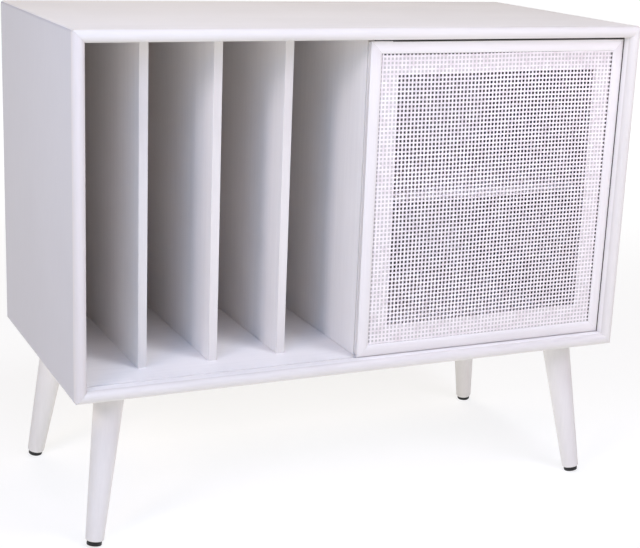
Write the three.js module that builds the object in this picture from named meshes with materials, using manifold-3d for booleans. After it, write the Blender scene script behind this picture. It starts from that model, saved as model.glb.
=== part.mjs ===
// Record cabinet: a mitred case on four splayed legs, with four record slots on the left
// and a cupboard behind a sliding cane-panelled door on the right.
// Millimetres, +Z up, +Y towards the back. The origin lies on the floor under the case's middle.

import * as THREE from 'three';
import { mergeVertices } from 'three/addons/utils/BufferGeometryUtils.js';
import Module from 'manifold-3d';

const wasm = await Module();
wasm.setup();

// Case: four boards mitred at the corners, with a half-round front edge all the way round.
const caseWidth = 1000;
const caseDepth = 478;
const caseHeight = 575;
const boardThickness = 20;
const mitreGap = 0.3;

// Back panel, let into a rebate of the four boards.
const backPanelThickness = 5;
const backPanelInset = 1;
const backRebateWidth = 7;
const backPanelPlay = 0.5;

// Record side: upright dividers behind the front edge, and the partition behind the door's left stile.
const dividerCount = 3;
const dividerThickness = 15;
const dividerSetback = 87;
const partitionThickness = 16;
const panelEdgeRadius = 1;

// Cupboard shelf on four pins.
const shelfThickness = 16;
const shelfSetback = 132;
const shelfHeightInside = 241;
const shelfPlay = 1;
const shelfPinRadius = 2.5;
const shelfPinInWall = 9;
const shelfPinInset = 45;
const shelfPinReach = 12;
const shelfPinWidth = 10;
const shelfPinPlate = 2;

// Sliding door: a mitred frame with a proud rounded rim and a ledge that carries the cane. Closed, its left
// edge stands a little past the partition, and its back clears the partition's front.
const doorThickness = 18;
const doorSetback = 20;
const doorTopGap = 3.5;
const doorBottomGap = 1.2;
const doorSideGap = 1.6;
const doorOverhang = 1.5;
const doorPartitionPlay = 1.5;
const rimWidth = 20;
const ledgeWidth = 32;
const ledgeRecess = 4;
const rimOuterRadius = 4;
const rimInnerRadius = 3;
const frameBackRadius = 1;

// Cane panel, a flat open net laid on the ledge.
const caneThickness = 1.6;
const canePlay = 0.4;
const caneColumns = 15;
const caneRows = 17;
const caneGapShare = 0.5;

// Grooves in the bottom and top boards, and the blocks in the door's rails that run in them. The top groove is
// deep enough to lift the door out.
const grooveSetback = 25.5;
const grooveWidth = 5;
const bottomGrooveDepth = 3.5;
const topGrooveDepth = 8;
const guideInBottomGroove = 3.2;
const guideInTopGroove = 4;
const guideInRail = 10;
const guideLength = 30;
const guideInset = 8;
const guideEndRadius = 2;

// Rubber buffers on the side boards, where the door stops.
const bufferRadius = 4;
const bufferInset = 60;

// Legs: round, tapered and splayed, screwed to angled plates under the case.
const legRise = 257;
const legInsetSide = 76;
const legInsetFore = 73;
const legSplaySide = 37.5;
const legSplayFore = 35.5;
const legHeadRadius = 25;
const legEndRadius = 15.2;
const legEndRounding = 3;
const legHeadRounding = 1.5;
const legHeadDrop = 9;
const plateSize = 68;
const plateThickness = 3;
const plateCornerRadius = 9;
const plateSeatRadius = 22;
const boltRadius = 4;
const boltInLeg = 30;

// Glides under the legs.
const glideRadius = 12.4;
const glideThickness = 4.6;
const glideEdgeRadius = 1.6;
const glideLift = 1.2;
const glideStemRadius = 2.5;
const glideStemLength = 14;

// Shared fits.
const fitGap = 0.3;
const overrun = 5;
const weldDistance = 0.0001;
const arcSteps = 3;
const roundSegments = 20;
const legSegments = 28;

// Sizes that follow from those above.
const insideWidth = caseWidth - 2 * boardThickness;
const insideHeight = caseHeight - 2 * boardThickness;
const ceiling = caseHeight - boardThickness;
const backPanelFront = caseDepth - backPanelInset - backPanelThickness;
const partitionLeft = -partitionThickness / 2;
const partitionRight = partitionThickness / 2;
const partitionSetback = doorSetback + doorThickness + doorPartitionPlay;
const slotWidth = (insideWidth / 2 + partitionLeft - dividerCount * dividerThickness) / (dividerCount + 1);
const doorLeft = partitionLeft - doorOverhang;
const doorRight = insideWidth / 2 - doorSideGap;
const doorBottom = boardThickness + doorBottomGap;
const doorTop = ceiling - doorTopGap;
const doorWidth = doorRight - doorLeft;
const doorHeight = doorTop - doorBottom;
const frameWidth = rimWidth + ledgeWidth;
const guideWidth = grooveWidth - 2 * fitGap;
const bufferThickness = doorSideGap - fitGap;
const shelfUnderside = boardThickness + shelfHeightInside;

const materials = {
  case: new THREE.MeshStandardMaterial({ color: '#e6e4ea', roughness: 0.55, metalness: 0 }),
  door: new THREE.MeshStandardMaterial({ color: '#eceaef', roughness: 0.55, metalness: 0 }),
  leg: new THREE.MeshStandardMaterial({ color: '#dddce2', roughness: 0.5, metalness: 0 }),
  back: new THREE.MeshStandardMaterial({ color: '#d9d8dc', roughness: 0.7, metalness: 0 }),
  cane: new THREE.MeshStandardMaterial({ color: '#ece9e6', roughness: 0.7, metalness: 0 }),
  steel: new THREE.MeshStandardMaterial({ color: '#b8b9bc', roughness: 0.35, metalness: 1 }),
  nylon: new THREE.MeshStandardMaterial({ color: '#e2e1dc', roughness: 0.45, metalness: 0 }),
  rubber: new THREE.MeshStandardMaterial({ color: '#c4c4c6', roughness: 0.7, metalness: 0 }),
  glide: new THREE.MeshStandardMaterial({ color: '#151517', roughness: 0.5, metalness: 0 }),
};

// Extrusions run along one axis. The outline's own two axes are the next two in X, Y, Z order.
const unitX = new THREE.Vector3(1, 0, 0);
const unitY = new THREE.Vector3(0, 1, 0);
const unitZ = new THREE.Vector3(0, 0, 1);
const extrusionFrames = {
  x: new THREE.Matrix4().makeBasis(unitY, unitZ, unitX),
  y: new THREE.Matrix4().makeBasis(unitZ, unitX, unitY),
  z: new THREE.Matrix4(),
};

// Joins a geometry's shared corners and drops the empty triangles where a profile meets its axis.
function solidOf(geometry) {
  const bare = geometry.clone();
  bare.deleteAttribute('normal');
  bare.deleteAttribute('uv');
  const merged = mergeVertices(bare, weldDistance);
  const corners = merged.index.array;
  const kept = [];
  for (let i = 0; i < corners.length; i += 3) {
    const [a, b, c] = corners.slice(i, i + 3);
    if (a !== b && b !== c && c !== a) kept.push(a, b, c);
  }
  const vertProperties = new Float32Array(merged.attributes.position.array);
  return new wasm.Manifold(new wasm.Mesh({ numProp: 3, vertProperties, triVerts: new Uint32Array(kept) }));
}

function geometryOf(solid) {
  const { vertProperties, triVerts } = solid.getMesh();
  const geometry = new THREE.BufferGeometry();
  geometry.setAttribute('position', new THREE.BufferAttribute(vertProperties, 3));
  geometry.setIndex(new THREE.BufferAttribute(triVerts, 1));
  return geometry;
}

function piece(name, solid, material) {
  const mesh = new THREE.Mesh(geometryOf(solid), materials[material].clone());
  mesh.name = name;
  return mesh;
}

function cut(solid, cutters) {
  return cutters.reduce((rest, cutter) => rest.subtract(solidOf(cutter)), solid);
}

// A closed outline through corners given as [across, up, radius], each rounded by its radius.
function outline(corners) {
  const shape = new THREE.Shape();
  corners.forEach(([across, up, radius = 0], i) => {
    const here = new THREE.Vector2(across, up);
    if (radius === 0) {
      if (i === 0) shape.moveTo(across, up);
      else shape.lineTo(across, up);
      return;
    }
    const [beforeAcross, beforeUp] = corners.at(i - 1);
    const [afterAcross, afterUp] = corners[(i + 1) % corners.length];
    const toBefore = new THREE.Vector2(beforeAcross, beforeUp).sub(here).normalize();
    const toAfter = new THREE.Vector2(afterAcross, afterUp).sub(here).normalize();
    const halfAngle = Math.acos(toBefore.dot(toAfter)) / 2;
    const reach = radius / Math.tan(halfAngle);
    const centre = toBefore.clone().add(toAfter).normalize().multiplyScalar(radius / Math.sin(halfAngle)).add(here);
    const start = toBefore.clone().multiplyScalar(reach).add(here).sub(centre);
    const end = toAfter.clone().multiplyScalar(reach).add(here).sub(centre);
    const clockwise = toBefore.cross(toAfter) > 0;
    shape.absarc(centre.x, centre.y, radius, start.angle(), end.angle(), clockwise);
  });
  return shape;
}

function rectangle(left, right, bottom, top, radius = 0) {
  return outline([[left, bottom, radius], [right, bottom, radius], [right, top, radius], [left, top, radius]]);
}

// Extrudes an outline from 0 along the given axis.
function bar(axis, shape, length) {
  const options = { depth: length, bevelEnabled: false, curveSegments: arcSteps };
  return new THREE.ExtrudeGeometry(shape, options).applyMatrix4(extrusionFrames[axis]);
}

// A round bar from the origin along the given axis.
function rod(axis, radius, length) {
  const round = new THREE.CylinderGeometry(radius, radius, length, roundSegments).translate(0, length / 2, 0);
  if (axis === 'x') round.rotateZ(-Math.PI / 2);
  if (axis === 'z') round.rotateX(Math.PI / 2);
  return round;
}

function block(left, right, front, back, bottom, top) {
  const box = new THREE.BoxGeometry(right - left, back - front, top - bottom);
  return box.translate((left + right) / 2, (front + back) / 2, (bottom + top) / 2);
}

// Points of a quarter circle in a profile, from one angle to another, in degrees.
function quarter(radius, height, bend, from, to) {
  return Array.from({ length: arcSteps + 1 }, (_, i) => {
    const angle = THREE.MathUtils.degToRad(from + ((to - from) * i) / arcSteps);
    return new THREE.Vector2(radius + bend * Math.cos(angle), height + bend * Math.sin(angle));
  });
}

function turned(profile, segments) {
  return new THREE.LatheGeometry(profile, segments);
}

// One side of a rectangular frame with mitred corners. The frame's middle is the origin in X and Z and its
// front lies at y = 0. The section has depth across and height from the outer face down, and the cutters are
// given in the frame's own coordinates.
const sideTurns = { top: 0, right: Math.PI / 2, bottom: Math.PI, left: -Math.PI / 2 };
function frameSide(name, side, frame, cutters, material) {
  const upright = side === 'left' || side === 'right';
  const length = upright ? frame.height : frame.width;
  const reach = (upright ? frame.width : frame.height) / 2;
  const shoulder = length / 2 - mitreGap / Math.SQRT2;
  const place = new THREE.Matrix4().makeRotationY(sideTurns[side]);
  place.multiply(new THREE.Matrix4().makeTranslation(0, 0, reach));
  const stock = solidOf(bar('x', frame.section, length).translate(-length / 2, 0, 0));
  const mitres = outline([
    [overrun, -shoulder - overrun],
    [overrun, shoulder + overrun],
    [-frame.breadth - overrun, shoulder - frame.breadth - overrun],
    [-frame.breadth - overrun, -shoulder + frame.breadth + overrun],
  ]);
  const trimmed = stock.intersect(solidOf(bar('y', mitres, frame.depth + 2 * overrun).translate(0, -overrun, 0)));
  const toSide = place.clone().invert();
  const mesh = piece(name, cut(trimmed, cutters.map((cutter) => cutter.clone().applyMatrix4(toSide))), material);
  mesh.applyMatrix4(place);
  return mesh;
}

// Grooves and bores are given in the frame of the case, with its front at y = 0 and its underside at z = 0.
function doorGroove(bottom, top) {
  return block(-insideWidth / 2, insideWidth / 2, grooveSetback, grooveSetback + grooveWidth, bottom, top);
}

function shelfPinSpots() {
  const wallLeft = partitionRight;
  const wallRight = insideWidth / 2;
  const front = shelfSetback + shelfPinInset;
  const back = backPanelFront - shelfPinInset;
  return [
    ['front_left', wallLeft, -1, front],
    ['back_left', wallLeft, -1, back],
    ['front_right', wallRight, 1, front],
    ['back_right', wallRight, 1, back],
  ];
}

const shelfPinAxis = shelfUnderside - shelfPinPlate / 2;
function shelfPinBores(wallSide) {
  const radius = shelfPinRadius + fitGap;
  const depth = shelfPinInWall + fitGap + overrun;
  return shelfPinSpots()
    .filter(([, , side]) => side === wallSide)
    .map(([, wall, side, y]) => rod('x', radius, depth).translate(side > 0 ? wall - overrun : wall - depth + overrun, y, shelfPinAxis));
}

function makeCase() {
  const group = new THREE.Group();
  group.position.set(0, -caseDepth / 2, legRise);
  const rebateFront = backPanelFront - fitGap;
  const bullnose = boardThickness / 2;
  const frame = {
    width: caseWidth,
    height: caseHeight,
    breadth: boardThickness,
    depth: caseDepth,
    section: outline([
      [0, -boardThickness, bullnose],
      [rebateFront, -boardThickness],
      [rebateFront, -boardThickness + backRebateWidth],
      [caseDepth, -boardThickness + backRebateWidth],
      [caseDepth, 0, panelEdgeRadius],
      [0, 0, bullnose],
    ]),
  };
  const boards = new THREE.Group();
  boards.position.z = caseHeight / 2;
  const toBoards = (cutter) => cutter.translate(0, 0, -caseHeight / 2);
  boards.add(
    frameSide('top_board', 'top', frame, [toBoards(doorGroove(ceiling - overrun, ceiling + topGrooveDepth))], 'case'),
    frameSide('bottom_board', 'bottom', frame, [toBoards(doorGroove(boardThickness - bottomGrooveDepth, boardThickness + overrun))], 'case'),
    frameSide('left_side_board', 'left', frame, [], 'case'),
    frameSide('right_side_board', 'right', frame, shelfPinBores(1).map(toBoards), 'case'),
  );
  group.add(boards);

  const panelReach = backRebateWidth - backPanelPlay;
  const back = rectangle(-panelReach, insideHeight + panelReach, -insideWidth / 2 - panelReach, insideWidth / 2 + panelReach);
  const backPanel = piece('back_panel', solidOf(bar('y', back, backPanelThickness)), 'back');
  backPanel.position.set(0, backPanelFront, boardThickness);
  group.add(backPanel);

  // Uprights stand between the bottom and the top board and run back to the panel.
  const upright = (name, thickness, setback, left, bores) => {
    const plan = outline([
      [0, setback, panelEdgeRadius],
      [thickness, setback, panelEdgeRadius],
      [thickness, backPanelFront],
      [0, backPanelFront],
    ]);
    const local = bores.map((bore) => bore.translate(-left, 0, -boardThickness));
    const mesh = piece(name, cut(solidOf(bar('z', plan, insideHeight)), local), 'case');
    mesh.position.set(left, 0, boardThickness);
    return mesh;
  };
  for (let i = 0; i < dividerCount; i += 1) {
    const left = -insideWidth / 2 + (i + 1) * slotWidth + i * dividerThickness;
    group.add(upright(`record_divider_${i + 1}`, dividerThickness, dividerSetback, left, []));
  }
  group.add(upright('centre_partition', partitionThickness, partitionSetback, partitionLeft, shelfPinBores(-1)));

  const shelfSection = outline([
    [shelfSetback, 0, panelEdgeRadius],
    [backPanelFront - shelfPlay, 0],
    [backPanelFront - shelfPlay, shelfThickness],
    [shelfSetback, shelfThickness, panelEdgeRadius],
  ]);
  const shelfLeft = partitionRight + shelfPlay;
  const shelfLength = insideWidth / 2 - shelfPlay - shelfLeft;
  const shelf = piece('cupboard_shelf', solidOf(bar('x', shelfSection, shelfLength)), 'case');
  shelf.position.set(shelfLeft, 0, shelfUnderside);
  group.add(shelf);

  for (const [where, wall, side, y] of shelfPinSpots()) {
    const seat = block(0, shelfPinReach, -shelfPinWidth / 2, shelfPinWidth / 2, -shelfPinPlate / 2, shelfPinPlate / 2);
    const shank = rod('x', shelfPinRadius, shelfPinInWall + shelfPinPlate).translate(-shelfPinInWall, 0, 0);
    const round = solidOf(shank).intersect(
      solidOf(block(-shelfPinInWall - overrun, shelfPinPlate, -shelfPinWidth, shelfPinWidth, -shelfPinWidth, shelfPinPlate / 2)),
    );
    const pin = piece(`shelf_pin_${where}`, solidOf(seat).add(round), 'steel');
    pin.position.set(wall, y, shelfPinAxis);
    if (side > 0) pin.rotation.z = Math.PI;
    group.add(pin);
  }

  for (const [side, x] of [['left', -insideWidth / 2], ['right', insideWidth / 2 - bufferThickness]]) {
    for (const [where, z] of [['lower', boardThickness + bufferInset], ['upper', ceiling - bufferInset]]) {
      const buffer = piece(`door_buffer_${side}_${where}`, solidOf(rod('x', bufferRadius, bufferThickness)), 'rubber');
      buffer.position.set(x, doorSetback + doorThickness / 2, z);
      group.add(buffer);
    }
  }
  return group;
}

// A block with rounded corners that stands on z = 0, made larger by the play of its mortise.
function guideBlock(height, play) {
  const reach = guideLength / 2 + play;
  const half = guideWidth / 2 + play;
  return bar('z', rectangle(-reach, reach, -half, half, guideEndRadius + play), height);
}

// The door's middle is its origin in X and Z, and its front lies at y = 0.
function makeDoor() {
  const group = new THREE.Group();
  group.position.set((doorLeft + doorRight) / 2, doorSetback - caseDepth / 2, legRise + (doorBottom + doorTop) / 2);
  const frame = {
    width: doorWidth,
    height: doorHeight,
    breadth: frameWidth,
    depth: doorThickness,
    section: outline([
      [0, 0, rimOuterRadius],
      [0, -rimWidth, rimInnerRadius],
      [ledgeRecess, -rimWidth],
      [ledgeRecess, -frameWidth, frameBackRadius / 2],
      [doorThickness, -frameWidth, frameBackRadius],
      [doorThickness, 0, frameBackRadius],
    ]),
  };
  const guideX = doorWidth / 2 - guideInset - guideLength / 2;
  const guideY = grooveSetback + grooveWidth / 2 - doorSetback;
  const mortise = (x, z) => guideBlock(guideInRail + overrun, fitGap).translate(x, guideY, z);
  const [topLeft, topRight] = [-guideX, guideX].map((x) => mortise(x, doorHeight / 2 - guideInRail));
  const [bottomLeft, bottomRight] = [-guideX, guideX].map((x) => mortise(x, -doorHeight / 2 - overrun));
  group.add(
    frameSide('door_top_rail', 'top', frame, [topLeft, topRight], 'door'),
    frameSide('door_bottom_rail', 'bottom', frame, [bottomLeft, bottomRight], 'door'),
    frameSide('door_left_stile', 'left', frame, [topLeft, bottomLeft], 'door'),
    frameSide('door_right_stile', 'right', frame, [topRight, bottomRight], 'door'),
  );

  const caneWidth = doorWidth - 2 * (rimWidth + canePlay);
  const caneHeight = doorHeight - 2 * (rimWidth + canePlay);
  // The strands across and the strands up cross at every pitch, and the outer ones end flush with the edge.
  const strands = (reach, count) => {
    const pitch = reach / count;
    const half = (pitch * (1 - caneGapShare)) / 2;
    return Array.from({ length: count + 1 }, (_, i) => i * pitch - reach / 2)
      .map((middle) => [Math.max(middle - half, -reach / 2), Math.min(middle + half, reach / 2)]);
  };
  const net = [
    ...strands(caneWidth, caneColumns).map(([left, right]) => block(left, right, -caneThickness, 0, -caneHeight / 2, caneHeight / 2)),
    ...strands(caneHeight, caneRows).map(([low, high]) => block(-caneWidth / 2, caneWidth / 2, -caneThickness, 0, low, high)),
  ];
  const cane = piece('door_cane_panel', net.map(solidOf).reduce((whole, strand) => whole.add(strand)), 'cane');
  cane.position.y = ledgeRecess;
  group.add(cane);

  const topLength = guideInRail + doorTopGap + guideInTopGroove;
  const bottomLength = guideInRail + doorBottomGap + guideInBottomGroove;
  for (const [side, x] of [['left', -guideX], ['right', guideX]]) {
    const guide = piece(`door_guide_top_${side}`, solidOf(guideBlock(topLength, 0)), 'nylon');
    guide.position.set(x, guideY, doorHeight / 2 - guideInRail);
    const runner = piece(`door_runner_bottom_${side}`, solidOf(guideBlock(bottomLength, 0)), 'nylon');
    runner.position.set(x, guideY, -doorHeight / 2 + guideInRail - bottomLength);
    group.add(guide, runner);
  }
  return group;
}

// One leg with its plate, bolt and glide. The leg's own axis is Y, from its point on the floor upwards.
function makeLeg(where, sideways, foreAft) {
  const headX = sideways * (caseWidth / 2 - legInsetSide);
  const headY = foreAft * (caseDepth / 2 - legInsetFore);
  const head = new THREE.Vector3(headX, headY, legRise);
  const foot = new THREE.Vector3(headX + sideways * legSplaySide, headY + foreAft * legSplayFore, 0);
  const rise = head.clone().sub(foot);
  const slant = rise.length();
  const lean = new THREE.Quaternion().setFromUnitVectors(unitY, rise.clone().normalize());
  const place = new THREE.Matrix4().compose(foot, lean, new THREE.Vector3(1, 1, 1));
  const toLeg = place.clone().invert();

  const sole = (glideLift * slant) / legRise;
  const glideTop = sole + glideThickness;
  const legEnd = glideTop + fitGap;
  const legTop = slant - legHeadDrop;
  const bend = legEndRounding;
  const headBend = legHeadRounding;

  const legProfile = [
    new THREE.Vector2(0, legEnd + glideStemLength + fitGap),
    new THREE.Vector2(glideStemRadius + fitGap, legEnd + glideStemLength + fitGap),
    new THREE.Vector2(glideStemRadius + fitGap, legEnd),
    ...quarter(legEndRadius - bend, legEnd + bend, bend, -90, 0),
    ...quarter(legHeadRadius - headBend, legTop - headBend, headBend, 0, 90),
    new THREE.Vector2(boltRadius + fitGap, legTop),
    new THREE.Vector2(boltRadius + fitGap, legTop - boltInLeg - fitGap),
    new THREE.Vector2(0, legTop - boltInLeg - fitGap),
  ];
  const glideProfile = [
    new THREE.Vector2(0, sole),
    ...quarter(glideRadius - glideEdgeRadius, sole + glideEdgeRadius, glideEdgeRadius, -90, 0),
    new THREE.Vector2(glideRadius, glideTop),
    new THREE.Vector2(glideStemRadius, glideTop),
    new THREE.Vector2(glideStemRadius, glideTop + glideStemLength),
    new THREE.Vector2(0, glideTop + glideStemLength),
  ];
  const wide = 2 * legHeadRadius;
  const floor = block(foot.x - wide, foot.x + wide, foot.y - wide, foot.y + wide, -wide, 0).applyMatrix4(toLeg);

  const group = new THREE.Group();
  const leg = piece(`leg_${where}`, solidOf(turned(legProfile, legSegments)), 'leg');
  const glide = piece(`glide_${where}`, cut(solidOf(turned(glideProfile, legSegments)), [floor]), 'glide');
  const boltLength = boltInLeg + legHeadDrop - plateThickness;
  const bolt = piece(`leg_bolt_${where}`, solidOf(rod('y', boltRadius, boltLength)), 'steel');
  bolt.position.y = legTop - boltInLeg;
  const leaning = new THREE.Group();
  leaning.add(leg, glide, bolt);
  leaning.applyMatrix4(place);
  group.add(leaning);

  // The plate lies under the case, and its seat is wedged to meet the leaning head squarely.
  const half = plateSize / 2;
  const plate = bar('z', rectangle(-half, half, -half, half, plateCornerRadius), plateThickness);
  const seatFace = legTop + fitGap;
  const seat = new THREE.CylinderGeometry(plateSeatRadius, plateSeatRadius, 2 * legHeadDrop, legSegments);
  seat.translate(0, seatFace + legHeadDrop, 0).applyMatrix4(place);
  const below = block(headX - wide, headX + wide, headY - wide, headY + wide, 0, legRise - plateThickness / 2);
  const boltHole = rod('y', boltRadius + fitGap, 2 * wide).translate(0, legTop - wide / 2, 0).applyMatrix4(place);
  const base = solidOf(plate.translate(headX, headY, legRise - plateThickness));
  const plateSolid = base.add(solidOf(seat).intersect(solidOf(below))).subtract(solidOf(boltHole));
  group.add(piece(`leg_plate_${where}`, plateSolid, 'steel'));
  return group;
}

const group = new THREE.Group();
group.add(
  makeCase(),
  makeDoor(),
  makeLeg('front_left', -1, -1),
  makeLeg('front_right', 1, -1),
  makeLeg('back_left', -1, 1),
  makeLeg('back_right', 1, 1),
);

export default group;
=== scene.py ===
# Record cabinet in white brushed paint: mitred case, record slots, sliding cane-panelled door, splayed legs.
# Lengths are metres, +Z up, +Y towards the back. The origin lies on the floor under the case's middle.

import math
import random

import bmesh
import bpy
from bpy.props import FloatProperty, FloatVectorProperty, IntProperty, PointerProperty
from mathutils import Matrix, Vector


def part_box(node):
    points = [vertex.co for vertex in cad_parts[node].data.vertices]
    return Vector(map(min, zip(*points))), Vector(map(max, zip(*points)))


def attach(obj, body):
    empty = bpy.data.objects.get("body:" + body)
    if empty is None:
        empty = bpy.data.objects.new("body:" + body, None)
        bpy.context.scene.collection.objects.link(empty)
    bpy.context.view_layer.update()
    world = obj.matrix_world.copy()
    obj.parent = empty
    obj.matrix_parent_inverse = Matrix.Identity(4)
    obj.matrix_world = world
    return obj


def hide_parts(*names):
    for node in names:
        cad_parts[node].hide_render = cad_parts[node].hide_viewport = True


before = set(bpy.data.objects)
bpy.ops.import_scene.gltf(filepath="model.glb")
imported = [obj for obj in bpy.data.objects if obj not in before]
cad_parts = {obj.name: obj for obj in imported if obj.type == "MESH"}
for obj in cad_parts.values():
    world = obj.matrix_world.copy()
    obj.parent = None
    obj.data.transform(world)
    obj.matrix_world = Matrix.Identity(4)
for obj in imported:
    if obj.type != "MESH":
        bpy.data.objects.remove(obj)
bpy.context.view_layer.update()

bl_info = {
    "name": "Record Cabinet",
    "version": (1, 0, 0),
    "blender": (4, 5, 0),
    "location": "3D View > Sidebar > Cabinet",
    "description": "Builds the visible pieces of a record cabinet around its solids",
    "category": "Object",
}

MM = 0.001
SAME_POINT = 0.001 * MM
LEG_PLACES = {"front_left": (-1, -1), "front_right": (1, -1), "back_left": (-1, 1), "back_right": (1, 1)}
SIDES = ("top", "bottom", "left", "right")


def linear(hex_colour):
    """The linear colour, with alpha 1, of an sRGB hex value."""
    channels = [int(hex_colour[i : i + 2], 16) / 255 for i in (1, 3, 5)]
    return tuple(c / 12.92 if c <= 0.04045 else ((c + 0.055) / 1.055) ** 2.4 for c in channels) + (1.0,)


# Sizes and colours that a user would change.


def length(name, description, default):
    return FloatProperty(name=name, description=description, default=default, min=0, unit="LENGTH", precision=5)


def count(name, description, default):
    return IntProperty(name=name, description=description, default=default, min=1)


def colour(name, description, hex_colour):
    return FloatVectorProperty(
        name=name, description=description, default=linear(hex_colour), size=4, min=0, max=1, subtype="COLOR"
    )


def power(name, description, watts):
    return FloatProperty(name=name, description=description, default=watts, min=0, unit="POWER")


def glow(name, description, default):
    return FloatProperty(name=name, description=description, default=default, min=0)


class CabinetCase(bpy.types.PropertyGroup):
    joint_gap: length("Mitre line", "Width of the hairline where two boards meet", 0.15 * MM)
    rebate_width: length("Rebate width", "Width of the rebate that takes the back panel", 7 * MM)
    edge_radius: length("Eased edge", "Radius of the eased edges of dividers, shelf and boards", 1.0 * MM)
    groove_setback: length("Groove setback", "From the case's front to the grooves of the sliding door", 25.5 * MM)
    groove_width: length("Groove width", "Width of the grooves of the sliding door", 5 * MM)
    bottom_groove_depth: length("Bottom groove", "Depth of the groove in the bottom board", 3.5 * MM)
    top_groove_depth: length("Top groove", "Depth of the groove in the top board", 8 * MM)
    nose_steps: count("Nose steps", "Faces over each quarter of the half-round front edge", 10)
    corner_radius: length("Corner rounding", "Radius of the case's long outer corners", 5.5 * MM)
    # Painted shade: the right board's inner face behind the door is dark grey.
    cupboard_and_gap_shade_setback: length("Undercoat", "From the door's front to the undercoat on the right board", 2.4 * MM)
    screw_inset: length("Screw inset", "From the back panel's edge to the middle of its screws", 3.2 * MM)


class CabinetDoor(bpy.types.PropertyGroup):
    rim_width: length("Rim width", "Width of the proud rim round the cane", 20 * MM)
    frame_width: length("Frame width", "Width of the rim and the ledge together", 52 * MM)
    ledge_recess: length("Ledge recess", "How far the ledge lies behind the rim", 4 * MM)
    joint_gap: length("Mitre line", "Width of the hairline where two members of the frame meet", 0.05 * MM)
    dome_height: length("Dome", "Height of the dome over the rim", 2 * MM)
    crown_outside: length("Outer crown", "Width of the dome on the rim's outside", 12 * MM)
    crown_inside: length("Inner crown", "Width of the dome on the rim's inside", 8 * MM)
    outer_fall: length("Outer fall", "From the rim's crown back to its outer edge", 3 * MM)
    rebated_fall: length("Rebated fall", "From the rim's crown back to its outer edge over the rebate", 2.4 * MM)
    inner_fall: length("Inner fall", "From the rim's crown back to its inner edge", 3.4 * MM)
    rebate_width: length("Rebate width", "How far the top rail is cut down in front of its tongue", 1.0 * MM)
    rebate_depth: length("Rebate depth", "From the front to the tongue of the top rail", 4.5 * MM)
    rebate_stop: length("Rebate stop", "From the door's left end to the rebate", 38 * MM)
    quirk_width: length("Quirk width", "Width of the fine groove where the ledge meets the rim", 2.4 * MM)
    quirk_depth: length("Quirk depth", "Depth of that groove at the top and the right", 2.2 * MM)


class CabinetCane(bpy.types.PropertyGroup):
    pitch_across: length("Pitch across", "Distance from hole to hole across the door", 6.942 * MM)
    pitch_up: length("Pitch up", "Distance from hole to hole up the door", 7.111 * MM)
    first_across: length("First band across", "Place of one upright band, from the case's middle", 1.739 * MM)
    first_up: length("First band up", "Place of one band across, from the case's underside", 2.69 * MM)
    strand_width: length("Strand width", "Width of one split of cane", 1.45 * MM)
    strand_thickness: length("Strand thickness", "Thickness of one split of cane", 0.4 * MM)
    pair_spacing: length("Pair spacing", "Distance between the two strands of a band", 1.49 * MM)
    wander: length("Wander", "How far a strand strays sideways", 0.22 * MM)
    lean: length("Lean", "How far the upright strands lean to the left at the top", 2.4 * MM)
    climb: length("Climb", "How far the cross strands climb from the left edge to the right one", 3 * MM)


class CabinetLegs(bpy.types.PropertyGroup):
    inset_side: length("Side inset", "From the case's side to the leg's head", 76 * MM)
    inset_fore: length("Front inset", "From the case's front or back to the leg's head", 73 * MM)
    splay_side: length("Side splay", "How far the foot stands out sideways", 37.5 * MM)
    splay_fore: length("Front splay", "How far the foot stands out to the front or back", 35.5 * MM)
    head_radius: length("Head radius", "Radius of the leg under the case", 25 * MM)
    end_radius: length("Foot radius", "Radius of the leg above its glide", 15.2 * MM)
    head_gap: length("Head gap", "From the leg's head to the case, for the leg plate", 9 * MM)
    glide_radius: length("Glide radius", "Radius of the plastic glide", 12.4 * MM)
    glide_height: length("Glide height", "Height of the plastic glide", 7.2 * MM)
    segments: count("Segments", "Faces round a leg", 72)


class CabinetColours(bpy.types.PropertyGroup):
    case_paint: colour("Case paint", "Brushed white paint on the case", "#f0edea")
    # Painted shade: the left side board's outside and its front edge are darker, as less light falls on the cabinet's
    # left.
    left_side_paint: colour("Left side paint", "The duller paint on the left side board's outside", "#cbc8cb")
    left_nose_paint: colour("Left nose paint", "The paint on the left side board's front edge", "#dad4d1")
    # Painted shade: the front edges of the case and the dividers are a shade greyer, which tones down the light on
    # them.
    edge_paint: colour("Edge paint", "The thinner paint on the front edges of the case and the dividers", "#e0dcd7")
    door_paint: colour("Door paint", "Brushed white paint on the door frame", "#e7e3e0")
    leg_paint: colour("Leg paint", "Brushed white paint on the legs", "#e2deda")
    back_paint: colour("Back paint", "White paint on the back panel's outside", "#e4e0da")
    # Painted shade: the back panel is darker and warmer inside the slots, where the shade is deep.
    yellowed_paint: colour("Yellowed paint", "White paint, yellowed in the dark of the slots", "#cbb5a4")
    # Painted shade: dark grey is put in the cupboard, so that the cane's holes look dark, and in the gaps round the
    # door.
    undercoat: colour("Undercoat", "Dark grey undercoat in the cupboard and in the gaps round the door", "#625d59")
    # Painted shade: the ledge is painted darker so that the holes over it look shaded.
    ledge_paint: colour("Ledge paint", "The thin paint on the ledge under the cane", "#cac6c2")
    cane_paint: colour("Cane paint", "White paint on the cane", "#f8f2f1")
    floor: colour("Floor", "Pale studio floor", "#959597")


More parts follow.
